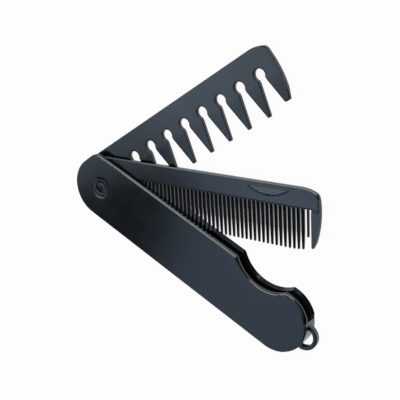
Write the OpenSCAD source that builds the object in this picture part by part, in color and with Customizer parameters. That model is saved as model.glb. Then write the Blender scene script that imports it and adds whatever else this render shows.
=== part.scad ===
// Folding pocket comb: a flat case with two combs that fold into it, one with wide
// teeth and one with fine teeth. Both turn on a hollow rivet at one end of the case.
// Millimetres. The case lies on its rear face, which is z = 0, the rivet's axis is
// the Z axis, and the case runs along +X to its lanyard loop, open side on +Y.
// Each comb is drawn lying along +X with its spine on +Y, then turned to stand open.

/* [Case] */
// Distance from the rivet to the centre of the round far end
case_reach = 98.7; // [97.5:0.1:115]
// Half the width of the case, and the radius of its round ends
case_r = 13.8; // [13.4:0.1:16]
// Thickness of the front and the rear plate
plate_t = 1.7; // [1.5:0.1:2.4]
// Thickness of the wall along the closed side and round the far end
wall_t = 1.5; // [1.3:0.1:1.8]
// Width of the bevel along the outer edges of both plates
edge_bevel = 0.7; // [0.3:0.1:1]
// Radius of the fuller corner beside the rivet, on the open side
corner_r = 5; // [3:0.5:8]
// How far that corner's centre lies behind the rivet
corner_back = 5.2; // [3:0.1:6]
// How far round the far end the wall climbs, in degrees above the X axis
end_wall_angle = 34; // [30:1:40]

/* [Finger notch] */
// Place of the notch's centre along the case
notch_x = 84.4; // [70:0.1:86]
// Radius of the notch
notch_r = 16.7; // [13:0.1:19]
// Depth of the notch below the open edge of the case
notch_depth = 5.5; // [3:0.1:7]

/* [Lanyard loop] */
// Outer radius of the loop
loop_r = 6.15; // [5.7:0.05:7]
// Radius of the hole in the loop
loop_hole_r = 4.25; // [3.5:0.05:4.6]
// How far the loop's centre lies beyond the centre of the round end
loop_out = 12.4; // [11.6:0.1:13]
// Thickness of the loop
loop_t = 2.4; // [1.6:0.1:3.6]

/* [Both combs] */
// Thickness of each comb
comb_t = 1.7; // [1.2:0.1:2.4]
// How far each comb's spine stands out of the case when folded
spine_proud = 0.1; // [0:0.05:0.6]
// Radius of the curved far end of each comb
end_curve_r = 43; // [36:1:80]
// Height above the rivet at which that curve reaches furthest
end_curve_y = 5; // [3:0.1:8]
// Radius with which the spine falls to the far end
fall_r = 14.5; // [8:0.5:20]
// Length over which the spine falls
fall_len = 8.2; // [5:0.1:10]
// Where the full height of the spine starts, which is the shoulder that stops a comb
shoulder_x = 2; // [1:0.5:6]
// Width of the bevel along the spine
spine_bevel = 0.5; // [0.2:0.05:0.7]

/* [Wide comb] */
// Angle of the wide comb from the case, as it stands open
wide_open = 59; // [40:1:170]
// Number of gaps
wide_gaps = 8; // [4:1:8]
// Distance from one gap to the next
wide_pitch = 10.8; // [10.2:0.1:11]
// Distance from the middle of the last gap to the far end
wide_end_w = 9.1; // [8.5:0.1:12]
// Radius of the drilled eye at the top of each gap
eye_r = 2.4; // [2.1:0.05:2.8]
// Height of the eyes above the rivet
eye_y = 3.7; // [3:0.1:5]
// Width of the rounded rim of each eye
eye_bevel = 0.35; // [0.1:0.05:0.5]
// Half the width of a gap at its neck
neck_half = 1.75; // [1.2:0.05:1.9]
// Height of the neck above the rivet
neck_y = 0.8; // [-1:0.1:1.2]
// Half the width of a wide tooth at its tip
wide_tip_half = 0.8; // [0.5:0.05:1.2]
// Thickness of a wide tooth at its tip
wide_tip_t = 1.2; // [0.8:0.1:1.2]
// Width of the end tooth at its tip
wide_guard_tip_w = 2.6; // [1.6:0.1:3.4]
// How much further from the wall the end tooth stops than the other teeth
wide_guard_short = 1.1; // [0.8:0.1:3]

/* [Fine comb] */
// Angle of the fine comb from the case, as it stands open
fine_open = 26.5; // [20:0.5:38]
// Distance from one tooth to the next
fine_pitch = 2; // [1.9:0.05:3]
// Distance from the rivet to the first gap
hub_solid = 14.6; // [13:0.1:30]
// Width of a tooth at its root
tooth_w = 1.45; // [0.9:0.05:1.5]
// Width of a tooth at its tip
tooth_tip_w = 0.8; // [0.4:0.05:0.8]
// Height of the roots above the rivet
root_y = 5.9; // [4:0.1:7]
// Height above the rivet at which the teeth begin to narrow
taper_y = -2.5; // [-6:0.1:2]
// Width of the short tooth beside the guard tooth
short_tooth_w = 0.9; // [0.8:0.05:1.4]
// How far the short tooth reaches below the rivet
short_tip_drop = 5.7; // [3:0.1:9]
// Thickness of a fine tooth at its root
tooth_t = 1.4; // [1:0.1:1.6]
// Thickness of a fine tooth at its tip
tooth_tip_t = 0.8; // [0.5:0.1:1]
// Width of the gap on each side of the short tooth
short_gap = 1.05; // [0.6:0.05:1.2]
// Width of the guard tooth at its root
guard_w = 4.1; // [3.2:0.1:5]
// How much further from the wall the guard tooth stops than the other teeth
guard_short = 1.1; // [1:0.1:3]

/* [Thumb grip] */
// How far below the spine the grip's straight upper edge lies
grip_top_drop = 1.5; // [1:0.1:3]
// How far the grip's arc stays inside the finger notch
grip_inset = 0.4; // [0:0.1:1.5]
// Depth of the grip's recess
grip_depth = 0.25; // [0.1:0.05:0.4]
// Distance from one ridge of the grip to the next
ridge_pitch = 0.9; // [0.7:0.05:1.5]
// Width of each ridge
ridge_w = 0.3; // [0.2:0.05:0.4]

/* [Rivet] */
// Outer radius of the hollow post that both combs turn on
post_r = 3.3; // [3.2:0.1:3.7]
// Radius of the pin inside the post
pin_r = 2.5; // [1.5:0.1:2.5]
// Radius of the post's flange, seen on the front
flange_r = 3.9; // [3.9:0.1:4.8]
// Thickness of the post's flange
flange_t = 0.55; // [0.3:0.05:0.6]
// Radius of the shallow round recess in the front plate
recess_r = 5.1; // [5:0.1:7]
// Depth of that recess
recess_depth = 0.35; // [0.2:0.05:0.5]
// How far the flange stands up from the floor of that recess
flange_rise = 0.1; // [0:0.05:0.2]
// How far the pin's end stays below the top of the flange
pin_sink = 0.2; // [0.1:0.05:0.4]
// Radius of the pin's head, in the rear plate
head_r = 4.6; // [4:0.1:6]
// Thickness of the pin's head
head_t = 0.8; // [0.5:0.05:0.9]
// How far the pin's head lies below the rear face
head_sink = 0.15; // [0.1:0.05:0.3]
// Radius of the friction washers
washer_r = 8; // [6:0.1:10]

/* [Clearances] */
// Gap between neighbouring layers, which the friction washers fill
layer_gap = 0.33; // [0.24:0.01:0.6]
// Clearance between a washer and each face beside it
washer_clear = 0.02; // [0.01:0.01:0.05]
// Running clearance round the post, on the radius
run_clear = 0.05; // [0.02:0.01:0.1]
// Clearance between parts that are fixed to each other, on the radius
fit_clear = 0.05; // [0.02:0.01:0.1]
// Clearance from the teeth and the hub to the inside of the wall
wall_clear = 0.5; // [0.3:0.1:1.5]
// How much further than that the fine teeth stay from the wall
fine_clear = 0.5; // [0:0.1:2]
// Clearance from the sweep of the combs' far end to the top of the end wall
sweep_clear = 1.35; // [1:0.05:3]
// Gap left between a comb's shoulder and the wall that stops it
stop_clear = 0.3; // [0.2:0.1:0.6]

/* [Hidden] */

ROUND_FN = 96;
ARC_STEP = 5;
CUT_OVER = 1;
FILLET_SHARE = 0.49;

// Layers, from the rear face up
wide_z = plate_t + layer_gap;
fine_z = wide_z + comb_t + layer_gap;
cover_z = fine_z + comb_t + layer_gap;
case_t = cover_z + plate_t;

// Case
inner_r = case_r - wall_t;
wall_start_x = stop_clear - shoulder_x;
corner_y = case_r - corner_r;
corner_turn = 2 * atan2(corner_y, -corner_back) - 90;
notch_y = case_r - notch_depth + notch_r;
loop_x = case_reach + loop_out;
loop_z = (case_t - loop_t) / 2;
loop_root = 0.5;
tongue_w = wall_t / 3;
tongue_h = 0.5;

// Both combs
hub_r = inner_r - wall_clear;
spine_y = case_r + spine_proud;
root_low_y = 0.3 - hub_r;
comb_reach = norm([case_reach + inner_r * cos(end_wall_angle), inner_r * sin(end_wall_angle)])
    - sweep_clear;

// Wide comb
wide_tip_y = wall_clear - inner_r;
wide_last_x = comb_reach - wide_end_w;
wide_first_x = wide_last_x - (wide_gaps - 1) * wide_pitch;
wide_spread = wide_pitch / 2 - wide_tip_half;
wide_tip_round = 0.9;
wide_guard_round = 1.1;
neck_round = 1.5;

// Fine comb
fine_tip_y = wall_clear + fine_clear - inner_r;
gap_w = fine_pitch - tooth_w;
guard_x = comb_reach - guard_w;
short_x = guard_x - short_gap - short_tooth_w / 2;
last_x = short_x - short_tooth_w / 2 - short_gap - tooth_w / 2;
fine_teeth = floor((last_x - tooth_w / 2 - gap_w - hub_solid) / fine_pitch) + 1;
first_x = last_x - (fine_teeth - 1) * fine_pitch;
solid_x = first_x - tooth_w / 2 - gap_w;
guard_round = 0.5;
short_round = 0.35;

// Thumb grip
grip_top_y = spine_y - grip_top_drop;
grip_r = notch_r - grip_inset;

// Rivet
washer_t = layer_gap - 2 * washer_clear;
recess_z = case_t - recess_depth;
flange_top_z = recess_z + flange_rise;
flange_z = flange_top_z - flange_t;
head_z = head_sink + head_t;
flange_bevel = 0.25;

// A rounded corner at p, between its neighbours a and b, with no more radius than fits
function corner(a, p, b, r) =
    let (u = (a - p) / norm(a - p), v = (b - p) / norm(b - p), half = acos(u * v) / 2,
         q = min(r, FILLET_SHARE * min(norm(a - p), norm(b - p)) * tan(half)))
    q < 0.02 ? [p] :
    let (c = p + (u + v) / norm(u + v) * q / sin(half), f = p + u * q / tan(half) - c,
         turn = (180 - 2 * half) * (u.x * v.y - u.y * v.x > 0 ? -1 : 1),
         n = max(2, ceil(abs(turn) * sqrt(q) / 20)))
    [for (i = [0:n]) let (a = turn * i / n)
        c + [f.x * cos(a) - f.y * sin(a), f.x * sin(a) + f.y * cos(a)]];

// An outline from a list of corners, each with its own radius: [x, y, radius]
function rounded(list) =
    let (m = len(list))
    [for (i = [0:m - 1], p = corner(
        [list[(i + m - 1) % m].x, list[(i + m - 1) % m].y], [list[i].x, list[i].y],
        [list[(i + 1) % m].x, list[(i + 1) % m].y], list[i].z)) p];

// Points along an arc about (x, y), both ends included
function arc(x, y, r, start, end) =
    let (n = ceil(abs(end - start) / ARC_STEP))
    [for (i = [0:n]) let (a = start + (end - start) * i / n) [x + r * cos(a), y + r * sin(a)]];

// Outline of the case, drawn in by an inset: far end, fuller corner, pivot end
module case_outline(inset = 0) {
    polygon(concat(arc(case_reach, 0, case_r - inset, -90, 90),
                   arc(-corner_back, corner_y, corner_r - inset, 90, corner_turn),
                   arc(0, 0, case_r - inset, corner_turn, 270)));
}

// One plate of the case with its outer edge bevelled on top
module plate() {
    hull() {
        linear_extrude(plate_t - edge_bevel) case_outline();
        linear_extrude(plate_t) case_outline(edge_bevel);
    }
}

// The finger notch through one plate, opening out at the bevelled face
module notch_cut() {
    translate([notch_x, notch_y, 0]) {
        translate([0, 0, -CUT_OVER])
            cylinder(r = notch_r, h = plate_t + 2 * CUT_OVER, $fn = ROUND_FN);
        translate([0, 0, plate_t - edge_bevel])
            cylinder(r1 = notch_r, r2 = notch_r + edge_bevel, h = edge_bevel, $fn = ROUND_FN);
        translate([0, 0, plate_t])
            cylinder(r = notch_r + edge_bevel, h = CUT_OVER, $fn = ROUND_FN);
    }
}

// A band of the case's wall between two insets, along the spine and round the far end
module wall_band(outer, inner) {
    far = 3 * case_r;
    intersection() {
        difference() {
            case_outline(outer);
            case_outline(inner);
        }
        polygon([[wall_start_x, 0], [wall_start_x, -far], [case_reach + far, -far],
                 [case_reach + far, far * tan(end_wall_angle)], [case_reach, 0]]);
    }
}

// A round cut or bore through the layers, from one height to another
module bore(r, z0, z1) {
    translate([0, 0, z0]) cylinder(r = r, h = z1 - z0, $fn = ROUND_FN);
}

// Lanyard loop, rooted in the wall at the far end
module loop() {
    translate([0, 0, loop_z]) linear_extrude(loop_t) difference() {
        translate([loop_x, 0]) circle(loop_r, $fn = ROUND_FN);
        translate([loop_x, 0]) circle(loop_hole_r, $fn = ROUND_FN);
        case_outline(loop_root);
    }
}

// Rear half of the case: plate, wall and loop in one moulding
module rear_shell() {
    wall_z = (plate_t + edge_bevel) / 2;
    color("#3a424a") difference() {
        union() {
            translate([0, 0, plate_t]) mirror([0, 0, 1]) plate();
            translate([0, 0, wall_z]) linear_extrude(cover_z - wall_z) wall_band(0, wall_t);
            loop();
        }
        translate([0, 0, plate_t]) mirror([0, 0, 1]) notch_cut();
        translate([0, 0, cover_z - tongue_h - fit_clear]) linear_extrude(tongue_h + CUT_OVER)
            wall_band(tongue_w - fit_clear, 2 * tongue_w + fit_clear);
        bore(post_r + fit_clear, 0, plate_t + CUT_OVER);
        bore(head_r + fit_clear, -CUT_OVER, head_z);
    }
}

// Front half of the case: a plate with a tongue that seats in the wall
module front_cover() {
    color("#3a424a") difference() {
        union() {
            translate([0, 0, cover_z]) plate();
            translate([0, 0, cover_z - tongue_h])
                linear_extrude(tongue_h + (plate_t - edge_bevel) / 2)
                wall_band(tongue_w, 2 * tongue_w);
        }
        translate([0, 0, cover_z]) notch_cut();
        bore(post_r + fit_clear, cover_z - CUT_OVER, case_t);
        bore(flange_r + fit_clear, flange_z, case_t);
        bore(recess_r, recess_z, case_t + CUT_OVER);
    }
}

// Hollow half of the rivet, pushed in from the front
module pivot_post() {
    color("#323a41") difference() {
        union() {
            bore(post_r, head_z, flange_top_z - flange_bevel);
            bore(flange_r, flange_z, flange_top_z - flange_bevel);
            translate([0, 0, flange_top_z - flange_bevel]) cylinder(
                r1 = flange_r, r2 = flange_r - flange_bevel, h = flange_bevel, $fn = ROUND_FN);
        }
        bore(pin_r + fit_clear, 0, case_t);
        translate([0, 0, flange_top_z - flange_bevel]) cylinder(
            r1 = pin_r + fit_clear, r2 = pin_r + fit_clear + flange_bevel, h = flange_bevel,
            $fn = ROUND_FN);
    }
}

// Solid half of the rivet, snapped in from the rear
module pivot_pin() {
    color("#2c3339") {
        bore(head_r, head_sink, head_z);
        bore(pin_r, head_sink, flange_top_z - pin_sink);
    }
}

// A friction washer in the middle of the gap that starts at height z
module washer(z) {
    color("#8d9298") difference() {
        bore(washer_r, z + washer_clear, z + washer_clear + washer_t);
        bore(post_r + run_clear, z - CUT_OVER, z + layer_gap + CUT_OVER);
    }
}

module front_washer() {
    washer(fine_z + comb_t);
}

module middle_washer() {
    washer(wide_z + comb_t);
}

module rear_washer() {
    washer(plate_t);
}

// What lies beyond the curved far end and the falling spine of a comb
module end_trim() {
    size = 2 * comb_reach;
    difference() {
        translate([comb_reach - fall_len, -size / 2]) square(size);
        translate([comb_reach - end_curve_r, end_curve_y]) circle(end_curve_r, $fn = ROUND_FN);
    }
    difference() {
        translate([comb_reach - fall_len, spine_y - fall_r]) square(size);
        translate([comb_reach - fall_len, spine_y - fall_r]) circle(fall_r, $fn = ROUND_FN);
    }
}

// What thins the teeth from root thickness to tip thickness, on one face
module tooth_relief(x0, x1, root, tip, root_t, tip_t) {
    translate([x0, 0, 0]) rotate([90, 0, 90]) linear_extrude(x1 - x0)
        polygon([[root, comb_t / 2 + root_t / 2], [tip, comb_t / 2 + tip_t / 2],
                 [tip - CUT_OVER, comb_t / 2 + tip_t / 2], [tip - CUT_OVER, comb_t + CUT_OVER],
                 [root, comb_t + CUT_OVER]]);
}

// The same relief on the front and on the back
module both_reliefs(x0, x1, root, tip, root_t, tip_t) {
    tooth_relief(x0, x1, root, tip, root_t, tip_t);
    translate([0, 0, comb_t]) mirror([0, 0, 1]) tooth_relief(x0, x1, root, tip, root_t, tip_t);
}

// The bevel along a comb's spine, which runs out where the spine falls, on one face
module spine_cut() {
    translate([0, spine_y, comb_t]) rotate([90, 0, 90]) linear_extrude(comb_reach)
        polygon([[-spine_bevel, 0], [0, -spine_bevel], [CUT_OVER, -spine_bevel],
                 [CUT_OVER, CUT_OVER], [-spine_bevel, CUT_OVER]]);
}

// A comb's blade from its outline of corners, with its hub, bore and spine bevels
module blade(corners) {
    difference() {
        union() {
            linear_extrude(comb_t) difference() {
                polygon(rounded(corners));
                end_trim();
            }
            bore(hub_r, 0, comb_t);
        }
        spine_cut();
        translate([0, 0, comb_t]) mirror([0, 0, 1]) spine_cut();
        bore(post_r + run_clear, -CUT_OVER, comb_t + CUT_OVER);
    }
}

// The corners that every blade ends with, along the far end and back along the spine
function blade_back(end_y) = [[comb_reach, end_y, wide_guard_round], [comb_reach, spine_y, 0],
                              [shoulder_x, spine_y, 0], [shoulder_x, 0, 0], [0, 0, 0]];

// Where the far end's curve lies at height y
function end_x(y) = comb_reach - end_curve_r + sqrt(pow(end_curve_r, 2) - pow(y - end_curve_y, 2));

// Corners of the wide comb's gap at x, from its left tip up to the eye and down again
function wide_gap(x, right_x, right_y) = [
    [x - wide_spread, wide_tip_y, wide_tip_round], [x - neck_half, neck_y, neck_round],
    [x - neck_half, eye_y, 0], [x + neck_half, eye_y, 0],
    [x + neck_half, neck_y, neck_round], [right_x, right_y, wide_tip_round]];

module wide_comb() {
    guard_y = wide_tip_y + wide_guard_short;
    guard_out_x = end_x(guard_y);
    corners = concat([[0, root_low_y, 0]],
        [for (i = [0:wide_gaps - 2], p = let (x = wide_first_x + i * wide_pitch)
            wide_gap(x, x + wide_spread, wide_tip_y)) p],
        wide_gap(wide_last_x, guard_out_x - wide_guard_tip_w, guard_y),
        [[guard_out_x - 0.3, guard_y, wide_guard_round]], blade_back(guard_y + 4));
    color("#464f57") rotate(wide_open) translate([0, 0, wide_z]) difference() {
        blade(corners);
        both_reliefs(wide_first_x, wide_last_x, neck_y, wide_tip_y, comb_t, wide_tip_t);
        for (i = [0:wide_gaps - 1]) translate([wide_first_x + i * wide_pitch, eye_y, 0]) {
            bore(eye_r, -CUT_OVER, comb_t + CUT_OVER);
            translate([0, 0, comb_t - eye_bevel]) cylinder(
                r1 = eye_r, r2 = eye_r + eye_bevel, h = eye_bevel, $fn = ROUND_FN);
            cylinder(r1 = eye_r + eye_bevel, r2 = eye_r, h = eye_bevel, $fn = ROUND_FN);
        }
    }
}

// Corners of one fine tooth at x, down its left side and up its right side
function fine_tooth(x) = let (h = tooth_w / 2, t = tooth_tip_w / 2) [
    [x - h, root_y, gap_w / 2], [x - h, taper_y, 0], [x - t, fine_tip_y, t],
    [x + t, fine_tip_y, t], [x + h, taper_y, 0], [x + h, root_y, gap_w / 2]];

module fine_comb() {
    guard_y = fine_tip_y + guard_short;
    short_h = short_tooth_w / 2;
    corners = concat(
        [[0, root_low_y, 0], [solid_x, root_low_y, 1], [solid_x, root_y, gap_w / 2]],
        [for (i = [0:fine_teeth - 1], p = fine_tooth(first_x + i * fine_pitch)) p],
        [[short_x - short_h, root_y, gap_w / 2], [short_x - short_h, -short_tip_drop, short_round],
         [short_x + short_h, -short_tip_drop, short_round], [short_x + short_h, root_y, short_gap / 2],
         [guard_x, root_y, short_gap / 2], [guard_x, guard_y, guard_round],
         [end_x(guard_y), guard_y, guard_round]], blade_back(guard_y + 4));
    color("#414a52") rotate(fine_open) translate([0, 0, fine_z]) difference() {
        blade(corners);
        both_reliefs(solid_x, guard_x, root_y, fine_tip_y, tooth_t, tooth_tip_t);
        thumb_grip();
    }
}

// The grip's recess, a half moon with ridges left standing along the spine
module thumb_grip() {
    low_y = notch_y - grip_r;
    translate([0, 0, comb_t - grip_depth]) linear_extrude(grip_depth + CUT_OVER) difference() {
        translate([notch_x, notch_y]) circle(grip_r, $fn = ROUND_FN);
        translate([notch_x - grip_r, grip_top_y]) square(2 * grip_r);
        for (y = [low_y + ridge_pitch:ridge_pitch:grip_top_y - ridge_w])
            translate([notch_x - grip_r, y]) square([2 * grip_r, ridge_w]);
    }
}

rear_shell();
front_cover();
pivot_post();
pivot_pin();
front_washer();
middle_washer();
rear_washer();
wide_comb();
fine_comb();
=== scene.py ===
import math

import bmesh
import bpy
import numpy as np
from mathutils import Matrix, Quaternion, Vector, geometry, kdtree


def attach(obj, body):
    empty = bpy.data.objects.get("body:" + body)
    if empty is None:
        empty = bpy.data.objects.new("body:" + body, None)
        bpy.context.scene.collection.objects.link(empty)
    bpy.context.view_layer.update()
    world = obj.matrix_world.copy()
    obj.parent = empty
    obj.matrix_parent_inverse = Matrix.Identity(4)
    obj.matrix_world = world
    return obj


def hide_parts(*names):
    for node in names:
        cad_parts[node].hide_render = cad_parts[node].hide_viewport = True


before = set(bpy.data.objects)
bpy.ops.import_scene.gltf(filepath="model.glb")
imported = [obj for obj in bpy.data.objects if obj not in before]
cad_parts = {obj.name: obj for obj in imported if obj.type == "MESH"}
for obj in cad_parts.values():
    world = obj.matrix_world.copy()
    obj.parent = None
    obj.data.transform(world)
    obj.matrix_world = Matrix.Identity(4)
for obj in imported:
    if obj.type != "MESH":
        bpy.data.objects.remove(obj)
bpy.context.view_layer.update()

for spare in ("Cube", "Light", "Camera"):
    if spare in bpy.data.objects:
        bpy.data.objects.remove(bpy.data.objects[spare])

# Rear shell: the back half of the flat case. It is one moulding of black plastic, a plate with
# the wall along the closed side and round the far end, and the lanyard loop on that wall.
# All sizes are in millimetres, from the rivet's axis and the rear face.
MM = 0.001
# The paler black on the sharp edges is partly rubbed wear and partly a painted highlight.
BLACK, WORN_AND_LIT_BLACK, CASE_ROUGH = (0.002, 0.0023, 0.0027), (0.014, 0.0155, 0.018), 0.14
CASE_REACH, CASE_R, OPEN_Y = 98.7, 13.8, 14.2
CORNER_X, CORNER_Y, CORNER_R, CORNER_TURN = -5.2, 8.8, 5.0, 151.16
CORNER_FROM, CORNER_BEND = (8.0, OPEN_Y), (1.0, OPEN_Y - 0.05)
NOTCH_X, NOTCH_Y, NOTCH_R, NOTCH_SOFT, NOTCH_CORNER = 84.4, 25.0, 16.7, 3.2, 0.6
PLATE_T, WALL_T, COVER_Z, CASE_T = 1.7, 1.5, 6.09, 7.79
WALL_START, WALL_END, PROUD_OVER = -1.7, 34.0, 8.0
EDGE_ROUND, SLIGHT_ROUND, BORE_ROUND, SEAM = 0.22, 0.12, 0.08, 0.05
REAR_SLOPE_H, REAR_SLOPE_W = 1.45, 0.92
BEVEL_START, BEVEL_END = -48.0, 112.0
POST_HOLE_R, HEAD_SEAT_R, HEAD_SEAT_Z = 3.35, 4.65, 0.95
LOOP_X, LOOP_R, LOOP_HOLE_R, LOOP_Z0, LOOP_Z1 = 111.1, 6.15, 4.25, 2.695, 5.095
LOOP_TURN, LOOP_HOLE_TURN, LOOP_ROUND = 95.5, 87.2, 0.45
GROOVE_AT, GROOVE_DEEP, UPRIGHT = 0.45, 0.55, 0.01
LONGEST_EDGE, MERGE, RING_CLEAR, FILL_CLEAR, BLUNTEST = 2.0, 0.03, 0.97, 0.04, 0.6


def arc(x, y, r, start, end, step=0.4):
    """Points along an arc, both ends included, about step apart."""
    n = max(2, math.ceil(abs(math.radians(end - start)) * r / step))
    turn = np.radians(np.linspace(start, end, n + 1))
    return np.column_stack((x + r * np.cos(turn), y + r * np.sin(turn)))


def line(*points):
    """A straight stretch of an outline through the given points."""
    return np.array(points, float)


def bend(start, corner, end, n=6):
    """A corner softened from start to end."""
    t = np.linspace(0, 1, n + 1)[:, None]
    start, corner, end = map(np.array, (start, corner, end))
    return (1 - t) ** 2 * start + 2 * t * (1 - t) * corner + t ** 2 * end


def stepped(*pairs):
    """An edge's profile from pairs of distance from the edge and depth below the face."""
    reach, depth = np.array(pairs, float).T

    def profile(where, d):
        return np.interp(d, reach, depth)

    profile.rings = tuple(reach[reach > 0])
    return profile


def rolled(radius, n=4):
    """A quarter-round edge."""
    turn = np.linspace(0, math.pi / 2, n + 1)
    return stepped(*zip(radius * (1 - np.cos(turn)), radius * (1 - np.sin(turn))))


def outline(loop):
    """One closed outline's points, and the name of the edge that starts at each."""
    points, names = [], []
    for name, stretch in loop:
        for p in stretch:
            if points and np.linalg.norm(points[-1] - p) < 1e-4:
                names[-1] = name
                continue
            points.append(np.array(p, float))
            names.append(name)
    if np.linalg.norm(points[0] - points[-1]) < 1e-4:
        points.pop(), names.pop()
    dense, edges = [], []
    for p, q, name in zip(points, points[1:] + points[:1], names):
        n = max(1, math.ceil(np.linalg.norm(q - p) / LONGEST_EDGE - 1e-6))
        dense += [p + (q - p) * i / n for i in range(n)]
        edges += [name] * n
    return np.array(dense), edges


def edge_distance(points, starts, ends):
    """How far each point lies from the nearest of many short edges."""
    tree = kdtree.KDTree(len(starts))
    for i, (x, y) in enumerate((starts + ends) / 2):
        tree.insert((x, y, 0), i)
    tree.balance()
    near = np.array([[hit[1] for hit in tree.find_n((x, y, 0), 8)] for x, y in points])
    a, b = starts[near], ends[near]
    along = ((points[:, None] - a) * (b - a)).sum(2) / ((b - a) ** 2).sum(2)
    foot = a + np.clip(along, 0, 1)[..., None] * (b - a)
    return np.linalg.norm(points[:, None] - foot, axis=2).min(1)


def inside(points, starts, ends):
    """Which points lie inside closed outlines, by counting the edges to their right."""
    x, y = points[:, :1], points[:, 1:]
    (x0, y0), (x1, y1) = starts.T, ends.T
    spans = (y0 > y) != (y1 > y)
    with np.errstate(divide="ignore", invalid="ignore"):
        crossing = x0 + (y - y0) * (x1 - x0) / (y1 - y0)
    return (spans & (crossing > x)).sum(1) % 2 == 1


def edge_loops(loops):
    """The short edges of closed outlines: their starts, the place of each next start, and their
    names. The first outline runs counter-clockwise, and the holes after it run clockwise."""
    starts, following, names = [], [], []
    for hole, loop in enumerate(loops):
        points, kinds = outline(loop)
        ahead = np.roll(points, -1, 0)
        area = (points[:, 0] * ahead[:, 1] - ahead[:, 0] * points[:, 1]).sum()
        if (area > 0) == (hole > 0):
            points, kinds = points[::-1], kinds[::-1][1:] + kinds[::-1][:1]
        following += [len(names) + (i + 1) % len(points) for i in range(len(points))]
        starts.append(points)
        names += kinds
    return np.concatenate(starts), following, np.array(names)


def inset_rings(starts, following, names, edges):
    """The outlines' points and, inside them, lines of points wherever an edge's profile turns,
    with the links along all these lines."""
    ends = starts[following]
    step = (ends - starts) / np.linalg.norm(ends - starts, axis=1)[:, None]
    normal = np.column_stack((-step[:, 1], step[:, 0]))
    before = np.argsort(following)
    miter = normal + normal[before]
    miter /= np.maximum(np.linalg.norm(miter, axis=1), BLUNTEST)[:, None] ** 2 / 2
    points, links, seen = [tuple(p) for p in starts], list(enumerate(following)), {}
    for ring in sorted({r for profiles in edges.values() for f in profiles for r in f.rings}):
        has = np.array([any(ring in f.rings for f in edges[n]) for n in names])
        where = starts + miter * ring
        keep = (has | has[before]) & (edge_distance(where, starts, ends) > RING_CLEAR * ring)
        index = {}
        for i in np.nonzero(keep)[0]:
            cell = tuple(np.round(where[i] / MERGE).astype(int))
            if cell not in seen:
                seen[cell] = len(points)
                points.append(tuple(where[i]))
            index[i] = seen[cell]
        links += [(index[a], index[b]) for a, b in enumerate(following)
                  if a in index and b in index and has[a] and index[a] != index[b]]
    return points, links


def placed(name, data):
    """A new object in the scene."""
    made = bpy.data.objects.new(name, data)
    bpy.context.scene.collection.objects.link(made)
    return made


def closed_piece(name, points, faces):
    """A new piece from points in millimetres and the faces that close it."""
    mesh = bpy.data.meshes.new(name)
    mesh.from_pydata([tuple(p) for p in np.array(points) * MM], [], faces)
    body = bmesh.new()
    body.from_mesh(mesh)
    bmesh.ops.delete(body, geom=[v for v in body.verts if not v.link_faces], context="VERTS")
    bmesh.ops.recalc_face_normals(body, faces=body.faces)
    body.to_mesh(mesh)
    body.free()
    return placed(name, mesh)


def plate(name, loops, z0, z1, edges, fill=()):
    """A flat moulding between the heights z0 and z1. Its outlines are lists of (edge, points),
    the outer one first, and edges gives the front and the back profile of each edge."""
    starts, following, names = edge_loops(loops)
    ends = starts[following]
    points, links = inset_rings(starts, following, names, edges)
    if len(fill):
        fill = np.array(fill, float)
        good = (edge_distance(fill, starts, ends) > FILL_CLEAR) & inside(fill, starts, ends)
        points += [tuple(p) for p in fill[good]]
    flat, _, faces, *_ = geometry.delaunay_2d_cdt([Vector(p) for p in points], links, [], 1, 1e-5)
    flat = np.array([tuple(v) for v in flat])
    middle = np.array([flat[list(f)].mean(0) for f in faces])
    faces = [tuple(f) for f, solid in zip(faces, inside(middle, starts, ends)) if solid]
    drops = [np.zeros(len(flat)), np.zeros(len(flat))]
    for kind, profiles in edges.items():
        mine = names == kind
        d = edge_distance(flat, starts[mine], ends[mine])
        drops = [np.maximum(drop, profile(flat, d)) for drop, profile in zip(drops, profiles)]
    count = len(flat)
    used = dict.fromkeys(pair for f in faces for pair in zip(f, (*f[1:], f[0])))
    sides = [(a, a + count, b + count, b) for a, b in used if (b, a) not in used]
    below = [tuple(i + count for i in reversed(f)) for f in faces]
    points = np.vstack((np.column_stack((flat, z1 - drops[0])), np.column_stack((flat, z0 + drops[1]))))
    return closed_piece(name, points, [*faces, *below, *sides])


def fused(piece, *others):
    """Joins closed shapes into one closed moulding."""
    for other in others:
        join = piece.modifiers.new("join", "BOOLEAN")
        join.operation, join.solver, join.object = "UNION", "EXACT", other
        graph = bpy.context.evaluated_depsgraph_get()
        mesh = bpy.data.meshes.new_from_object(piece.evaluated_get(graph))
        piece.modifiers.clear()
        piece.data = mesh
        bpy.data.objects.remove(other)
    return piece


CREASE, WORN_AND_LIT_CREASE, WEAR_AND_HIGHLIGHT_REACH = 32, 25, 0.5


def shaded(piece):
    """Smooth shading that keeps the moulding's crisp edges, with a mask of its sharp edges as an
    attribute, for paler edges that are partly wear and partly a painted highlight.
    """
    mesh = piece.data
    mesh.shade_smooth()
    mesh.set_sharp_from_angle(angle=math.radians(CREASE))
    body = bmesh.new()
    body.from_mesh(mesh)
    sharp = [e for e in body.edges
             if e.is_manifold and e.calc_face_angle_signed(0) > math.radians(WORN_AND_LIT_CREASE)]
    tree = kdtree.KDTree(len(sharp) * 3)
    for e in sharp:
        a, b = (v.co for v in e.verts)
        for t in (0, 0.5, 1):
            tree.insert(a.lerp(b, t), 0)
    tree.balance()
    worn_and_lit = mesh.attributes.new("edge_wear", "FLOAT", "POINT")
    near = [tree.find(v.co)[2] / MM if sharp else 9.0 for v in body.verts]
    worn_and_lit.data.foreach_set("value", np.exp(-np.array(near) / WEAR_AND_HIGHLIGHT_REACH).astype(np.float32))
    body.free()
    even = piece.modifiers.new("even_faces", "WEIGHTED_NORMAL")
    even.keep_sharp, even.weight = True, 60


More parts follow.
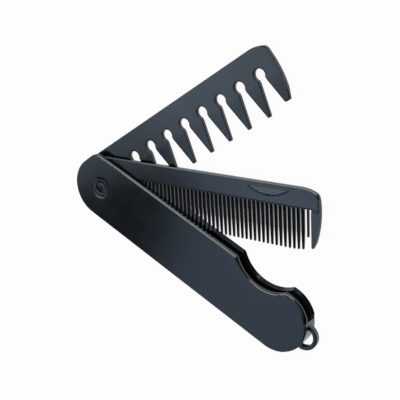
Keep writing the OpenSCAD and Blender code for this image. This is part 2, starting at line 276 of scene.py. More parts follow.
def group(name, inputs, outputs):
    """An empty shader node group with its named sockets."""
    tree = bpy.data.node_groups.new(name, "ShaderNodeTree")
    for socket, value in inputs.items():
        made = tree.interface.new_socket(socket, in_out="INPUT", socket_type="NodeSocketFloat")
        made.default_value = value
    for socket, kind in outputs.items():
        tree.interface.new_socket(socket, in_out="OUTPUT", socket_type=kind)
    return tree, tree.nodes.new("NodeGroupInput"), tree.nodes.new("NodeGroupOutput")


def maths(tree, kind, a, b):
    """A Math node on two values or sockets."""
    node = tree.nodes.new("ShaderNodeMath")
    node.operation = kind
    for socket, value in zip(node.inputs, (a, b)):
        if isinstance(value, (int, float)):
            socket.default_value = value
        else:
            tree.links.new(value, socket)
    return node.outputs[0]


def noise(tree, scale, detail, rough=0.5):
    """Noise over the piece's own coordinates. The scale is a number or a socket."""
    place = tree.nodes.new("ShaderNodeTexCoord")
    node = tree.nodes.new("ShaderNodeTexNoise")
    node.inputs["Detail"].default_value = detail
    node.inputs["Roughness"].default_value = rough
    tree.links.new(place.outputs["Object"], node.inputs["Vector"])
    if isinstance(scale, (int, float)):
        node.inputs["Scale"].default_value = scale
    else:
        tree.links.new(scale, node.inputs["Scale"])
    return node.outputs["Fac"]


GRAIN_SIZE, BROAD_SIZE, FLOW_SIZE, RUB_AND_HIGHLIGHT_SIZE = 2400.0, 160.0, 38.0, 900.0

grain, grain_in, grain_out = group(
    "moulded_grain", {"Scale": GRAIN_SIZE}, {"Height": "NodeSocketFloat", "Mottle": "NodeSocketFloat"})
fine_grain = noise(grain, grain_in.outputs["Scale"], 3.0, 0.6)
broad = noise(grain, BROAD_SIZE, 2.0)
flow = noise(grain, FLOW_SIZE, 1.0)
height = maths(grain, "ADD", fine_grain, maths(grain, "MULTIPLY", broad, 0.35))
mottle = maths(grain, "ADD", maths(grain, "MULTIPLY", broad, 0.5), maths(grain, "MULTIPLY", flow, 0.5))
grain.links.new(height, grain_out.inputs["Height"])
grain.links.new(mottle, grain_out.inputs["Mottle"])

# Mask of the paler edges, in patches near sharp convex edges: partly wear, partly a painted highlight.
wear_and_highlight, wear_and_highlight_in, wear_and_highlight_out = group("edge_wear", {"Amount": 0.5}, {"Mask": "NodeSocketFloat"})
edge_near = wear_and_highlight.nodes.new("ShaderNodeAttribute")
edge_near.attribute_name = "edge_wear"
close = maths(wear_and_highlight, "POWER", edge_near.outputs["Fac"], 2.0)
patchy = maths(wear_and_highlight, "MULTIPLY", noise(wear_and_highlight, RUB_AND_HIGHLIGHT_SIZE, 4.0, 0.65), 2.0)
rubbed_and_highlit = maths(wear_and_highlight, "MULTIPLY", close, maths(wear_and_highlight, "SUBTRACT", patchy, 0.55))
clipped = wear_and_highlight.nodes.new("ShaderNodeClamp")
wear_and_highlight.links.new(rubbed_and_highlit, clipped.inputs["Value"])
amount = maths(wear_and_highlight, "MULTIPLY", clipped.outputs["Result"], wear_and_highlight_in.outputs["Amount"])
wear_and_highlight.links.new(amount, wear_and_highlight_out.inputs["Mask"])


def colour_mix(tree, factor, first, second):
    """A mix of two colours. The first is a colour or a socket."""
    node = tree.nodes.new("ShaderNodeMix")
    node.data_type = "RGBA"
    tree.links.new(factor, node.inputs[0])
    if isinstance(first, bpy.types.NodeSocket):
        tree.links.new(first, node.inputs[6])
    else:
        node.inputs[6].default_value = [*first, 1]
    node.inputs[7].default_value = [*second, 1]
    return node.outputs[2]


IOR, GLOSS_TINT = 1.8, (0.82, 0.93, 1, 1)
MOTTLING, UNEVEN, RELIEF, RELIEF_DEPTH = 0.2, 0.12, 0.06, 0.00008


def moulded_plastic(name, colour, rubbed_and_lit_colour, roughness, worn_and_lit=0.5):
    """Moulded plastic: a fine spark-eroded grain, a little unevenness, and paler edges that are partly
    rubbed wear and partly a painted highlight.
    """
    made = bpy.data.materials.new(name)
    made.use_nodes = True
    tree = made.node_tree
    shader = tree.nodes["Principled BSDF"]
    shader.inputs["IOR"].default_value = IOR
    shader.inputs["Specular Tint"].default_value = GLOSS_TINT
    surface = tree.nodes.new("ShaderNodeGroup")
    surface.node_tree = grain
    surface.inputs["Scale"].default_value = GRAIN_SIZE
    edges = tree.nodes.new("ShaderNodeGroup")
    edges.node_tree = wear_and_highlight
    edges.inputs["Amount"].default_value = worn_and_lit
    darker, lighter = ([c * (1 + change) for c in colour] for change in (-MOTTLING, MOTTLING))
    shade = colour_mix(tree, surface.outputs["Mottle"], darker, lighter)
    # Paler colour on the sharp edges: partly rubbed wear, partly a painted highlight.
    rub_and_highlight = colour_mix(tree, edges.outputs["Mask"], shade, rubbed_and_lit_colour)
    tree.links.new(rub_and_highlight, shader.inputs["Base Color"])
    uneven = maths(tree, "MULTIPLY", surface.outputs["Mottle"], UNEVEN)
    tree.links.new(maths(tree, "ADD", uneven, roughness - UNEVEN / 2), shader.inputs["Roughness"])
    bump = tree.nodes.new("ShaderNodeBump")
    bump.inputs["Strength"].default_value = RELIEF
    bump.inputs["Distance"].default_value = RELIEF_DEPTH
    tree.links.new(surface.outputs["Height"], bump.inputs["Height"])
    tree.links.new(bump.outputs["Normal"], shader.inputs["Normal"])
    return made


def notch_edge():
    """The finger notch from its far corner to its near one, with both corners softened."""
    drop = NOTCH_Y - OPEN_Y
    turn = math.degrees(math.asin(drop / NOTCH_R))
    half = NOTCH_R * math.cos(math.radians(turn))
    soft = arc(NOTCH_X, NOTCH_Y, NOTCH_R, -turn - NOTCH_SOFT, turn + NOTCH_SOFT - 180)
    far, near = NOTCH_X + half, NOTCH_X - half
    return np.vstack((bend((far + NOTCH_CORNER, OPEN_Y), (far, OPEN_Y), soft[0]), soft[1:-1],
                      bend(soft[-1], (near, OPEN_Y), (near - NOTCH_CORNER, OPEN_Y))))


def open_end():
    """The far end's arc from the end of the wall to the open side, which stands a little proud."""
    turn = np.linspace(WALL_END, 90, 42)
    r = CASE_R + (OPEN_Y - CASE_R) * np.clip((turn - WALL_END) / PROUD_OVER, 0, 1)
    turn = np.radians(turn)
    return np.column_stack((CASE_REACH + r * np.cos(turn), r * np.sin(turn)))


def case_outline():
    """The case's outline by its edges: the closed side, the far end's wall, the open side from
    the end of the wall to the corner beside the rivet, and the round end at the rivet."""
    closed = np.vstack((line((WALL_START, -CASE_R)), arc(CASE_REACH, 0, CASE_R, -90, BEVEL_START)))
    end = arc(CASE_REACH, 0, CASE_R, BEVEL_START, WALL_END)
    corner = bend(CORNER_FROM, CORNER_BEND, (CORNER_X, CORNER_Y + CORNER_R))
    side = np.vstack((open_end(), notch_edge(), corner,
                      arc(CORNER_X, CORNER_Y, CORNER_R, 90, BEVEL_END)[1:]))
    hub_end = np.vstack((arc(CORNER_X, CORNER_Y, CORNER_R, BEVEL_END, CORNER_TURN),
                         arc(0, 0, CASE_R, CORNER_TURN, 270)[1:], line((WALL_START, -CASE_R))))
    return [("closed", closed), ("end", end), ("open", side), ("round", hub_end)]


def wall_band(outer, inner, start, end):
    """The band of the wall between two insets, from its start to its end round the far end."""
    return np.vstack((line((start, outer - CASE_R)), arc(CASE_REACH, 0, CASE_R - outer, -90, end),
                      arc(CASE_REACH, 0, CASE_R - inner, end, -90), line((start, inner - CASE_R))))


FLAT = stepped((0, 0))
bore_edge = rolled(BORE_ROUND, 2)
post_hole = arc(0, 0, POST_HOLE_R, 0, 360)
head_seat = HEAD_SEAT_R - POST_HOLE_R
rear_shell = plate(
    "rear_shell", [case_outline(), [("bore", post_hole)]], 0, PLATE_T,
    {"closed": (FLAT, rolled(EDGE_ROUND)), "end": (FLAT, rolled(EDGE_ROUND)),
     "open": (stepped((0, REAR_SLOPE_H), (REAR_SLOPE_W, 0)), rolled(EDGE_ROUND)),
     "round": (rolled(SLIGHT_ROUND, 3), rolled(EDGE_ROUND)),
     "bore": (bore_edge, stepped((0, HEAD_SEAT_Z), (head_seat - UPRIGHT, HEAD_SEAT_Z),
                                 (head_seat, 0.1), (head_seat + 0.1, 0)))})
wall_top = stepped((0, SEAM), (SEAM, 0), (GROOVE_AT, 0), (GROOVE_AT + UPRIGHT, GROOVE_DEEP))
wall = plate("wall", [[("wall", wall_band(0, WALL_T, WALL_START, WALL_END))]], PLATE_T, COVER_Z,
             {"wall": (wall_top, FLAT)})
loop_line = np.vstack((arc(LOOP_X, 0, LOOP_R, -LOOP_TURN, LOOP_TURN),
                       arc(LOOP_X, 0, LOOP_HOLE_R, LOOP_HOLE_TURN, -LOOP_HOLE_TURN)))
loop = plate("loop", [[("loop", loop_line)]], LOOP_Z0, LOOP_Z1,
             {"loop": (rolled(LOOP_ROUND, 5), rolled(LOOP_ROUND, 5))})
shaded(fused(rear_shell, wall, loop))
rear_shell.data.materials.append(moulded_plastic("matt_case_rear", BLACK, WORN_AND_LIT_BLACK, CASE_ROUGH))
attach(rear_shell, "case")
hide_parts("rear_shell")

# Front cover: the plate that closes the case, moulded from the same black plastic. A tongue under
# it seats in the groove of the wall. Round the rivet it has a shallow recess.
FLANGE_SEAT, FLANGE_SEAT_Z = 0.6, 6.99
RECESS_FLOOR, RECESS_RIM, RECESS_Z = 1.38, 1.68, 7.44
TONGUE_Z, TONGUE_OUT, TONGUE_IN = 5.59, 0.5, 1.0
TONGUE_SHORT, TONGUE_SHORT_END = 0.6, 3.0
END_ROUND, UNDER_BEVEL = 0.6, 0.08

seam = stepped((0, SEAM), (SEAM, 0))
seat_z, recess_z = CASE_T - FLANGE_SEAT_Z, CASE_T - RECESS_Z
recess = stepped((0, seat_z), (FLANGE_SEAT, seat_z), (FLANGE_SEAT + UPRIGHT, recess_z + 0.02),
                 (FLANGE_SEAT + 0.04, recess_z), (RECESS_FLOOR - 0.06, recess_z),
                 (RECESS_FLOOR + 0.04, recess_z - 0.05), (RECESS_RIM - 0.04, 0.03),
                 (RECESS_RIM + 0.06, 0))
open_bevel = stepped((0, 1.02), (0.04, 0.94), (0.28, 0.54), (0.82, 0.05), (0.86, 0.025), (0.94, 0))
front_cover = plate(
    "front_cover", [case_outline(), [("bore", post_hole)]], COVER_Z, CASE_T,
    {"closed": (rolled(EDGE_ROUND), seam), "end": (rolled(END_ROUND, 8), seam),
     "open": (open_bevel, stepped((0, UNDER_BEVEL), (UNDER_BEVEL, 0))),
     "round": (rolled(EDGE_ROUND), rolled(SLIGHT_ROUND, 3)), "bore": (recess, bore_edge)})
tongue_line = wall_band(TONGUE_OUT, TONGUE_IN, WALL_START + TONGUE_SHORT, WALL_END - TONGUE_SHORT_END)
tongue = plate("tongue", [[("tongue", tongue_line)]], TONGUE_Z, COVER_Z + 0.4, {"tongue": (FLAT, FLAT)})
shaded(fused(front_cover, tongue))
front_cover.data.materials.append(moulded_plastic("matt_case_front", BLACK, WORN_AND_LIT_BLACK, CASE_ROUGH))
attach(front_cover, "case")
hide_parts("front_cover")

# Rivet post: the hollow half of the rivet. It is a turned plastic tube with a thin flange, pushed
# in from the front, and both combs turn on it.
POST_R, POST_BORE, POST_Z0, POST_Z1 = 3.3, 2.55, 0.95, 7.54
FLANGE_R, FLANGE_Z, TURN_STEPS = 3.9, 6.99, 128


def turned(name, profile):
    """A round piece about the rivet's axis, from its closed profile of radius and height."""
    points, rings, faces = [], [], []
    for r, z in profile:
        turns = 2 * math.pi * np.arange(TURN_STEPS if r else 1) / TURN_STEPS
        ring = list(range(len(points), len(points) + len(turns)))
        points += [(r * math.cos(turn), r * math.sin(turn), z) for turn in turns]
        rings.append(ring if r else ring * TURN_STEPS)
    for low, high in zip(rings, rings[1:] + rings[:1]):
        for i in range(TURN_STEPS):
            face = dict.fromkeys((low[i - 1], low[i], high[i], high[i - 1]))
            if len(face) > 2:
                faces.append(tuple(face))
    return closed_piece(name, points, faces)


pivot_post = turned("pivot_post", [
    (POST_BORE, POST_Z0), (POST_R - 0.1, POST_Z0), (POST_R, POST_Z0 + 0.1), (POST_R, FLANGE_Z),
    (FLANGE_R - 0.05, FLANGE_Z), (FLANGE_R, FLANGE_Z + 0.05), (FLANGE_R, POST_Z1 - 0.12),
    (FLANGE_R - 0.03, POST_Z1 - 0.05), (FLANGE_R - 0.08, POST_Z1 - 0.015), (FLANGE_R - 0.15, POST_Z1),
    (POST_BORE + 0.24, POST_Z1), (POST_BORE + 0.18, POST_Z1 - 0.02), (POST_BORE + 0.03, POST_Z1 - 0.16),
    (POST_BORE, POST_Z1 - 0.26)])
shaded(pivot_post)
pivot_post.data.materials.append(moulded_plastic("rivet_post_plastic", BLACK, WORN_AND_LIT_BLACK, CASE_ROUGH))
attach(pivot_post, "case")
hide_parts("pivot_post")

# Rivet pin: the solid half of the rivet. It is pressed into the post from the rear, and its wide
# flat head lies just below the rear face.
PIN_R, PIN_Z0, PIN_Z1, HEAD_R, HEAD_Z = 2.5, 0.15, 7.34, 4.6, 0.95

pivot_pin = turned("pivot_pin", [
    (0, PIN_Z0), (HEAD_R - 0.25, PIN_Z0), (HEAD_R - 0.06, PIN_Z0 + 0.06), (HEAD_R, PIN_Z0 + 0.22),
    (HEAD_R, HEAD_Z - 0.05), (HEAD_R - 0.05, HEAD_Z), (PIN_R, HEAD_Z), (PIN_R, PIN_Z1 - 0.2),
    (PIN_R - 0.05, PIN_Z1 - 0.07), (PIN_R - 0.2, PIN_Z1), (1.2, PIN_Z1), (0, PIN_Z1)])
shaded(pivot_pin)
pivot_pin.data.materials.append(moulded_plastic("rivet_pin_plastic", BLACK, WORN_AND_LIT_BLACK, CASE_ROUGH))
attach(pivot_pin, "case")
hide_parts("pivot_pin")

# Washers: three thin rings of grey low-friction plastic on the post, which hold the combs apart
# from each other and from the case.
WASHER_R, WASHER_BORE, WASHER_T = 8.0, 3.35, 0.29
WASHER_SOFT_IN, WASHER_SOFT_OUT, WASHER_ROUGH = 0.04, 0.06, 0.45
WASHERS = {"rear_washer": 1.72, "middle_washer": 3.75, "front_washer": 5.78}

washer_plastic = moulded_plastic(
    "washer_plastic", (0.20, 0.21, 0.22), (0.3, 0.3, 0.31), WASHER_ROUGH, worn_and_lit=0.3)
for name, z in WASHERS.items():
    top, bore, rim = z + WASHER_T, WASHER_BORE + WASHER_SOFT_IN, WASHER_R - WASHER_SOFT_OUT
    washer = turned(name, [(WASHER_BORE, z + WASHER_SOFT_IN), (bore, z), (rim, z),
                           (WASHER_R, z + WASHER_SOFT_OUT), (WASHER_R, top - WASHER_SOFT_OUT),
                           (rim, top), (bore, top), (WASHER_BORE, top - WASHER_SOFT_IN)])
    shaded(washer)
    washer.data.materials.append(washer_plastic)
    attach(washer, "case")
    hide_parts(name)

# Wide comb: the rear blade, moulded in one piece with rounded, full teeth. Each gap ends in a
# round eye, and the edges of the blade's back are left almost sharp.
COMB_T, HUB_R, SPINE_Y, SHOULDER_X, HUB_FOOT = 1.7, 11.8, 13.9, 2.0, -11.5
COMB_REACH, END_R, END_Y, FALL_R, FALL_LEN = 107.764, 43.0, 5.0, 14.5, 8.2
END_TOP, END_STEPS, FALL_FROM, SPINE_END, SHOULDER_LIFT = 10.4, 24, 62.5, (107.15, 11.72), 0.4
WIDE_Z, WIDE_OPEN, WIDE_END_LOW, FOOT_OUT, FOOT_SPAN = 2.03, 59.0, -6.7, 0.6, 8.0
EYES, EYE_PITCH, EYE_LAST, EYE_Y, EYE_R = 8, 10.8, 98.664, 3.7, 2.4
NECK_HALF, NECK_Y, NECK_SOFT = 1.75, 0.8, 1.5
WIDE_TIP_Y, WIDE_TIP_HALF, WIDE_TIP_SOFT, WIDE_TIP_T = -12.1, 0.8, 0.9, 1.2
END_TOOTH_Y, END_TOOTH_W, END_TOOTH_SOFT, END_TOOTH_CORNER = -10.3, 2.9, 1.2, 1.1
END_TOOTH_LEAN, ROOT_RAMP = 0.2, 0.3
BORE_R, HUB_ROUND, COMB_ROUGH = 3.35, 0.1, 0.15


def rounded(corners, step=0.22):
    """An outline from its corners, each with its own radius."""
    points = []
    for i, (x, y, r) in enumerate(corners):
        p = np.array((x, y))
        a = np.array(corners[i - 1][:2]) if i else p
        b = np.array(corners[i + 1][:2]) if i + 1 < len(corners) else p
        if r < 0.02 or i in (0, len(corners) - 1):
            points.append(p)
            continue
        u, v = (a - p) / np.linalg.norm(a - p), (b - p) / np.linalg.norm(b - p)
        half = math.acos(np.clip(u @ v, -1, 1)) / 2
        r = min(r, 0.49 * min(np.linalg.norm(a - p), np.linalg.norm(b - p)) * math.tan(half))
        centre = p + (u + v) / np.linalg.norm(u + v) * r / math.sin(half)
        f = p + u * r / math.tan(half) - centre
        side = -1 if u[0] * v[1] - u[1] * v[0] > 0 else 1
        n = max(2, math.ceil((math.pi - 2 * half) * r / step))
        for t in np.linspace(0, side * (math.pi - 2 * half), n + 1):
            cos, sin = math.cos(t), math.sin(t)
            points.append(centre + (f[0] * cos - f[1] * sin, f[0] * sin + f[1] * cos))
    return np.array(points)


def end_x(y, foot_out=0.0):
    """Where the curved far end lies at height y, with its foot standing out further or not."""
    end = COMB_REACH - END_R + math.sqrt(END_R ** 2 - (y - END_Y) ** 2)
    return end + np.interp(y, (-FOOT_SPAN, FOOT_SPAN), (foot_out, 0))


def far_end(low, foot_out=0.0, lift=0.0):
    """The curved far end from height low up to the falling spine, and the spine to the shoulder.
    The whole spine is lifted at the far end, and only partly at the shoulder."""
    up = np.array([(end_x(y, foot_out), y) for y in np.linspace(low, END_TOP, END_STEPS)])
    fall = arc(COMB_REACH - FALL_LEN, SPINE_Y + lift - FALL_R, FALL_R, FALL_FROM, 90, 0.5)
    corner = bend(up[-1], (SPINE_END[0], SPINE_END[1] + lift), fall[0])
    return up, np.vstack((corner, fall[1:], line((SHOULDER_X, SPINE_Y + SHOULDER_LIFT * lift))))


def hub(low_x, lift=0.0):
    """The hub from the shoulder round to the foot of the first gap."""
    top = math.degrees(math.acos(SHOULDER_X / HUB_R))
    foot = 360 + math.degrees(math.asin(HUB_FOOT / HUB_R))
    return np.vstack((line((SHOULDER_X, SPINE_Y + SHOULDER_LIFT * lift)),
                      arc(0, 0, HUB_R, top, foot, 0.6), line((low_x, HUB_FOOT))))


def crowned(depth, reach, root, tip, root_t, tip_t, shape):
    """The full faces of the teeth, which fall away to their edges by the given shape of distance
    and depth, each from 0 to 1. The teeth also thin towards their tips."""
    out, down = np.array(shape, float).T

    def drop(where, d):
        thin = np.interp(where[:, 1], (tip, root - ROOT_RAMP, root),
                         ((COMB_T - tip_t) / 2, (COMB_T - root_t) / 2, 0))
        return thin + (COMB_T / 2 - thin) * depth * np.interp(d, out * reach, down)

    drop.rings = tuple(reach * out[out > 0])
    return drop


eye_x = [EYE_LAST - (EYES - 1 - i) * EYE_PITCH for i in range(EYES)]
spread = EYE_PITCH / 2 - WIDE_TIP_HALF
neck_turn = math.degrees(math.acos(NECK_HALF / EYE_R))
neck_top = EYE_Y - EYE_R * math.sin(math.radians(neck_turn))
end_foot = end_x(END_TOOTH_Y, FOOT_OUT)
wide_teeth = []
for i, x in enumerate(eye_x):
    right, soft, half_tip = (x + spread, WIDE_TIP_Y), WIDE_TIP_SOFT, WIDE_TIP_HALF
    if i == EYES - 1:
        right, soft, half_tip = (end_foot - END_TOOTH_W, END_TOOTH_Y), END_TOOTH_SOFT, END_TOOTH_W / 2
    left_side = rounded([(x - EYE_PITCH / 2, WIDE_TIP_Y, 0), (x - spread, WIDE_TIP_Y, WIDE_TIP_SOFT),
                         (x - NECK_HALF, NECK_Y, NECK_SOFT), (x - NECK_HALF, neck_top, 0)])
    right_side = rounded([(x + NECK_HALF, neck_top, 0), (x + NECK_HALF, NECK_Y, NECK_SOFT),
                          (*right, soft), (right[0] + half_tip, right[1], 0)])
    wide_teeth += [left_side, arc(x, EYE_Y, EYE_R, 180 + neck_turn, -neck_turn, 0.3), right_side]
wide_teeth.append(rounded([(end_foot - END_TOOTH_W / 2, END_TOOTH_Y, 0),
                           (end_foot - END_TOOTH_LEAN, END_TOOTH_Y, END_TOOTH_CORNER),
                           (end_x(WIDE_END_LOW, FOOT_OUT), WIDE_END_LOW, 0)]))
FULL = [(0, 1), (0.09, 0.66), (0.21, 0.42), (0.38, 0.22), (0.6, 0.08), (0.8, 0.02), (1, 0)]
wide_full = crowned(0.42, 0.6, NECK_Y, WIDE_TIP_Y, COMB_T, WIDE_TIP_T, FULL)
wide_rear = crowned(0.16, 1.0, NECK_Y, WIDE_TIP_Y, COMB_T, WIDE_TIP_T, FULL)
wide_slope = stepped((0, 1.5), (0.15, 0.22), (0.19, 0.12), (0.27, 0.04), (0.4, 0))
hub_edge, wide_back = rolled(HUB_ROUND, 2), rolled(SLIGHT_ROUND, 3)
wide_end, wide_spine = far_end(WIDE_END_LOW, FOOT_OUT)
comb_bore = [("bore", arc(0, 0, BORE_R, 0, 360))]
mid_teeth = [(x + side * EYE_PITCH / 2, y)
             for x in eye_x for side in (-1, 1) for y in np.linspace(-11, 3.6, 24)]
wide_comb = plate(
    "wide_comb", [[("hub", hub(eye_x[0] - EYE_PITCH / 2)), ("teeth", np.vstack(wide_teeth)),
                   ("far", wide_end), ("back", wide_spine)], comb_bore], WIDE_Z, WIDE_Z + COMB_T,
    {"hub": (hub_edge, hub_edge), "teeth": (wide_full, wide_rear), "far": (wide_slope, bore_edge),
     "back": (wide_back, wide_back), "bore": (bore_edge, bore_edge)}, fill=mid_teeth)
wide_comb.data.transform(Matrix.Rotation(math.radians(WIDE_OPEN), 4, "Z"))
shaded(wide_comb)
wide_comb.data.materials.append(moulded_plastic("wide_comb_plastic", BLACK, WORN_AND_LIT_BLACK, COMB_ROUGH))
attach(wide_comb, "wide_comb")
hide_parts("wide_comb")

# Fine comb: the front blade, with close, thin teeth that are rounded like needles, a short tooth
# beside the broad end tooth, a bevel round its back, and a ribbed thumb grip.
FINE_Z, FINE_OPEN, FINE_END_LOW, SPINE_LIFT = 4.06, 26.5, -7.4, 0.55
FINE_TEETH, FINE_PITCH, FINE_FIRST, TOOTH_W, TIP_W = 43, 2.0, 15.939, 1.5, 0.9
ROOT_Y, TAPER_Y, FINE_TIP_Y, LAST_TEETH, LAST_RISE = 5.9, -3.5, -11.7, 3, 0.06
SHORT_X, SHORT_W, SHORT_TIP_Y, SHORT_SOFT = 102.164, 0.9, -5.7, 0.35
GUARD_X, GUARD_TIP_Y, GUARD_CORNERS, GUARD_LEAN = 103.664, -10.1, (0.85, 0.9), 0.3
SOLID_X, SOLID_SOFT, FOOT_LEN = 14.664, 1.0, 3.0
TOOTH_T, TOOTH_TIP_T = 1.4, 0.8
BACK_BEVEL, BACK_SOFT, REAR_ROUND, GUARD_ROUND = 0.5, 0.1, 0.15, 0.18
GRIP_X, GRIP_R, GRIP_TOP, GRIP_RAMP = 84.7, 16.1, 12.4, 0.15
GRIP_GROOVE_H, RIDGE_PITCH, RIDGE_H, VALLEY_HALF, RIDGE_GAP = 0.3, 0.75, 0.17, 0.2, 0.6
GRIP_LOW, GRIP_STEP, GRIP_GROOVE_AT = NOTCH_Y - GRIP_R, 0.2, ((0, 0.2, 0.4), (0, 1, 0))


def bevelled(width, soft):
    """A flat bevel that turns over softly into the edge's upright face."""
    t = np.linspace(0, 1, 5)[:, None]
    start, corner, end = (0, width + soft), (0, width), (soft, width - soft)
    over = (1 - t) ** 2 * start + 2 * t * (1 - t) * corner + t ** 2 * end
    brow = min(0.06, width / 4)
    return stepped(*over, (width - brow, brow), (width - brow / 4, brow / 3), (width + brow, 0))


def gripped(profile):
    """The front face with the thumb grip cut into it: an arc-shaped groove, and fine grooves above
    it that leave low ridges standing."""
    def drop(where, d):
        x, y = where[:, 0], where[:, 1]
        from_arc = GRIP_R - np.hypot(x - GRIP_X, y - NOTCH_Y)
        groove = np.interp(from_arc, *GRIP_GROOVE_AT) * GRIP_GROOVE_H
        groove *= np.interp(x - GRIP_X, (-6, 9), (1, 0.8))
        from_valley = RIDGE_PITCH / 2 - np.abs((y - GRIP_LOW) % RIDGE_PITCH - RIDGE_PITCH / 2)
        valley = np.clip(1 - from_valley / VALLEY_HALF, 0, 1) * RIDGE_H
        valley *= np.clip((from_arc - RIDGE_GAP) / 0.3, 0, 1)
        cut = np.maximum(groove, valley) * np.clip((GRIP_TOP - y) / GRIP_RAMP, 0, 1)
        return np.maximum(profile(where, d), np.where(from_arc > 0, cut, 0))

    drop.rings = profile.rings
    return drop


root_soft = (FINE_PITCH - TOOTH_W) / 2
corners = [(SOLID_X - FOOT_LEN, HUB_FOOT, 0), (SOLID_X, HUB_FOOT, SOLID_SOFT),
           (SOLID_X, ROOT_Y, root_soft)]
for i in range(FINE_TEETH):
    x, h, t = FINE_FIRST + i * FINE_PITCH, TOOTH_W / 2, TIP_W / 2
    tip_y = FINE_TIP_Y + LAST_RISE * max(0, i + 1 - FINE_TEETH + LAST_TEETH) ** 2
    corners += [(x - h, ROOT_Y, root_soft), (x - h, TAPER_Y, 0), (x - t, tip_y, t),
                (x + t, tip_y, t), (x + h, TAPER_Y, 0), (x + h, ROOT_Y, root_soft)]
short_left, short_right = SHORT_X - SHORT_W / 2, SHORT_X + SHORT_W / 2
corners += [(short_left, ROOT_Y, root_soft), (short_left, SHORT_TIP_Y, SHORT_SOFT),
            (short_right, SHORT_TIP_Y, SHORT_SOFT), (short_right, ROOT_Y, 0.5), (GUARD_X, ROOT_Y, 0)]
guard_tip = rounded([(GUARD_X, ROOT_Y, 0), (GUARD_X, GUARD_TIP_Y, GUARD_CORNERS[0]),
                     (end_x(GUARD_TIP_Y - 0.1) - GUARD_LEAN, GUARD_TIP_Y, GUARD_CORNERS[1]),
                     (end_x(FINE_END_LOW), FINE_END_LOW, 0)])
NEEDLE = [(0, 1), (0.05, 0.93), (0.4, 0.56), (0.75, 0.2), (0.87, 0.09), (1, 0)]
needle = crowned(0.5, 0.72, ROOT_Y, FINE_TIP_Y, TOOTH_T, TOOTH_TIP_T, NEEDLE)
needle_rear = crowned(0.32, 0.6, ROOT_Y, FINE_TIP_Y, TOOTH_T, TOOTH_TIP_T, NEEDLE)
inner_points = [(FINE_FIRST + i * FINE_PITCH, y)
                for i in range(FINE_TEETH) for y in np.linspace(-11.1, 5.4, 18)]
inner_points += [(SHORT_X, y) for y in np.linspace(-5.3, 5.4, 12)]
for y in np.arange(GRIP_LOW + RIDGE_PITCH, GRIP_TOP - 0.3, RIDGE_PITCH):
    reach = int(math.sqrt((GRIP_R - 0.55) ** 2 - (NOTCH_Y - y + VALLEY_HALF) ** 2) / GRIP_STEP)
    inner_points += [(GRIP_X + x * GRIP_STEP, y + rise) for rise in (-VALLEY_HALF, 0, VALLEY_HALF)
                     for x in np.arange(-reach, reach + 1)]
grip_turn = math.degrees(math.asin((NOTCH_Y - GRIP_TOP) / GRIP_R)) + 0.5
for inset in (-0.1, *GRIP_GROOVE_AT[0], 0.5):
    along = arc(GRIP_X, NOTCH_Y, GRIP_R - inset, grip_turn - 180, -grip_turn, 0.3)
    inner_points += [tuple(p) for p in along]
for y in (GRIP_TOP - GRIP_RAMP, GRIP_TOP, GRIP_TOP + 0.12):
    half = math.sqrt(GRIP_R ** 2 - (NOTCH_Y - y) ** 2) - 0.1
    inner_points += [(GRIP_X + side * half, y) for side in np.linspace(-1, 1, 60)]
fine_slope = stepped((0, 1.3), (0.42, 0.25), (0.47, 0.14), (0.56, 0.05), (0.7, 0))
fine_rear = rolled(REAR_ROUND, 3)
fine_end, fine_spine = far_end(FINE_END_LOW, lift=SPINE_LIFT)
fine_comb = plate(
    "fine_comb", [[("hub", hub(SOLID_X - FOOT_LEN, SPINE_LIFT)), ("teeth", rounded(corners)),
                   ("end", guard_tip), ("far", fine_end), ("back", fine_spine)], comb_bore],
    FINE_Z, FINE_Z + COMB_T,
    {"hub": (hub_edge, hub_edge), "teeth": (needle, needle_rear),
     "end": (rolled(GUARD_ROUND, 4), fine_rear), "far": (fine_slope, fine_rear),
     "back": (gripped(bevelled(BACK_BEVEL, BACK_SOFT)), fine_rear), "bore": (bore_edge, bore_edge)},
    fill=inner_points)
fine_comb.data.transform(Matrix.Rotation(math.radians(FINE_OPEN), 4, "Z"))
shaded(fine_comb)
fine_comb.data.materials.append(moulded_plastic("fine_comb_plastic", BLACK, WORN_AND_LIT_BLACK, COMB_ROUGH))
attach(fine_comb, "fine_comb")
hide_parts("fine_comb")

# Floor: a plain pale sheet that the comb lies on. It shows as white, also where the gloss
# mirrors it, and keeps the comb's faint shadow.
FLOOR_HALF, FLOOR_Z, SEEN_WHITE = 3.0, -0.0001, 0.95

floor_mesh = bpy.data.meshes.new("floor")
floor_mesh.from_pydata([(x * FLOOR_HALF, y * FLOOR_HALF, FLOOR_Z)
                        for x, y in ((-1, -1), (1, -1), (1, 1), (-1, 1))], [], [(0, 1, 2, 3)])
floor = placed("floor", floor_mesh)
paper = bpy.data.materials.new("pale_floor")
paper.use_nodes = True
tree = paper.node_tree
tree.nodes.clear()
path = tree.nodes.new("ShaderNodeLightPath")
mirror_ray = maths(tree, "MAXIMUM", path.outputs["Is Glossy Ray"], path.outputs["Is Transmission Ray"])
seen_ray = maths(tree, "MAXIMUM", path.outputs["Is Camera Ray"], mirror_ray)
matt = tree.nodes.new("ShaderNodeBsdfDiffuse")
matt.inputs["Color"].default_value = (0.95, 0.95, 0.95, 1)
white = tree.nodes.new("ShaderNodeEmission")
white.inputs["Strength"].default_value = 1.0
mixed = tree.nodes.new("ShaderNodeMixShader")
tree.links.new(maths(tree, "MULTIPLY", seen_ray, SEEN_WHITE), mixed.inputs[0])
tree.links.new(matt.outputs[0], mixed.inputs[1])
tree.links.new(white.outputs[0], mixed.inputs[2])
surface_out = tree.nodes.new("ShaderNodeOutputMaterial")
tree.links.new(mixed.outputs[0], surface_out.inputs["Surface"])
floor.data.materials.append(paper)

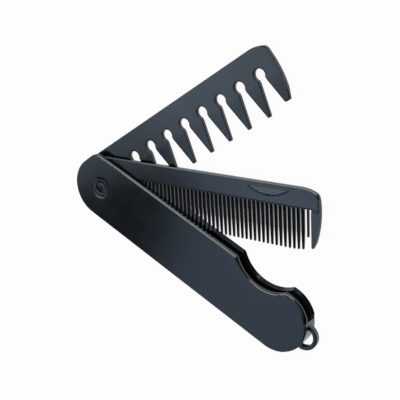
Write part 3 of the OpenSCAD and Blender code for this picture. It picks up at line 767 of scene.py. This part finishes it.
# The room: it shows as white behind the comb and gives a plain light all round. Where the gloss
# mirrors it, it is a dark studio with soft glows, each given by its direction, how far it
# reaches, and its brightness.
GLOWS = ((80, 62), (15, 45), 0.55), ((-50, 8), (15, 40), 0.45), ((168, 9), (7, 13), 2.2)
ROOM_DARK, ROOM_LIGHT = 0.015, 0.5


def direction(azimuth, elevation):
    """The unit vector that points that way, from degrees."""
    around, up = math.radians(azimuth), math.radians(elevation)
    return Vector((math.cos(up) * math.cos(around), math.cos(up) * math.sin(around), math.sin(up)))


world = bpy.data.worlds.new("studio")
bpy.context.scene.world = world
world.use_nodes = True
tree = world.node_tree
ambient = tree.nodes["Background"]
ambient.inputs["Color"].default_value = (1, 1, 1, 1)
toward = tree.nodes.new("ShaderNodeTexCoord")
mirrored = ROOM_DARK
for aim, (full, gone), glow in GLOWS:
    dot = tree.nodes.new("ShaderNodeVectorMath")
    dot.operation = "DOT_PRODUCT"
    dot.inputs[1].default_value = direction(*aim)
    tree.links.new(toward.outputs["Generated"], dot.inputs[0])
    near_aim = tree.nodes.new("ShaderNodeMapRange")
    near_aim.interpolation_type = "SMOOTHSTEP"
    near_aim.inputs["From Min"].default_value = math.cos(math.radians(gone))
    near_aim.inputs["From Max"].default_value = math.cos(math.radians(full))
    tree.links.new(dot.outputs["Value"], near_aim.inputs["Value"])
    mirrored = maths(tree, "ADD", maths(tree, "MULTIPLY", near_aim.outputs["Result"], glow), mirrored)
sky_path = tree.nodes.new("ShaderNodeLightPath")
seen = maths(tree, "MULTIPLY", sky_path.outputs["Is Camera Ray"], 1 - ROOM_LIGHT)
unlit = maths(tree, "SUBTRACT", ROOM_LIGHT, mirrored)
dimmed = maths(tree, "MULTIPLY", sky_path.outputs["Is Glossy Ray"], unlit)
light = maths(tree, "SUBTRACT", maths(tree, "ADD", seen, ROOM_LIGHT), dimmed)
tree.links.new(light, ambient.inputs["Strength"])

# Lamps: plain soft boxes. Three pale blue ones stand behind and above the comb, where its flat
# faces mirror them, and a long one beyond the open side lights the bevels.
CENTRE = Vector((0.05, 0.03, 0.004))
LAMP_AT = 3.0


def softbox(name, azimuth, elevation, width, height, roll, glow, colour=(1, 1, 1)):
    """A soft lamp in that direction from the comb, as wide and high as it looks from there. All
    are in degrees, and the glow is its brightness as seen from the comb."""
    lamp = bpy.data.lights.new(name, "AREA")
    lamp.shape = "RECTANGLE"
    lamp.size, lamp.size_y = (2 * LAMP_AT * math.tan(math.radians(a / 2)) for a in (width, height))
    lamp.energy = glow * math.pi * lamp.size * lamp.size_y
    lamp.color = colour
    made = placed(name, lamp)
    back = direction(azimuth, elevation)
    made.location = CENTRE + back * LAMP_AT
    made.rotation_mode = "QUATERNION"
    made.rotation_quaternion = back.to_track_quat("Z", "Y") @ Quaternion((0, 0, 1), math.radians(roll))


PALE_BLUE, DEEPER_BLUE = (0.756, 0.849, 1), (0.634, 0.774, 1)
softbox("right_panel", -105.9, 48.3, 16.5, 24.4, 31.1, 0.64, DEEPER_BLUE)
softbox("left_panel", -142.8, 47.8, 19.3, 26.2, 9.4, 0.70, PALE_BLUE)
softbox("upper_panel", -128.5, 60.0, 20.0, 19.0, 16.0, 0.53, PALE_BLUE)
softbox("side_box", 121.5, 27.5, 67.0, 23.0, 0.0, 2.6)

# Camera: above the open side, looking down at the case, as in the photograph. Its place and its
# two axes were fitted to the outlines of the case and the combs.
CAMERA_AT = Vector((175.409, 231.776, 299.882)) * MM
CAMERA_RIGHT, CAMERA_UP = Vector((0.760, 0.325, -0.563)), Vector((-0.555, 0.776, -0.301))
lens = bpy.data.cameras.new("camera")
lens.sensor_width, lens.lens = 36, 83.2
lens.clip_start, lens.clip_end = 0.01, 20
camera = placed("camera", lens)
across = CAMERA_RIGHT.normalized()
upward = (CAMERA_UP - CAMERA_UP.dot(across) * across).normalized()
facing = Matrix((across, upward, across.cross(upward))).transposed()
camera.matrix_world = Matrix.Translation(CAMERA_AT) @ facing.to_4x4()
bpy.context.scene.camera = camera
bpy.context.scene.view_settings.view_transform = "Standard"
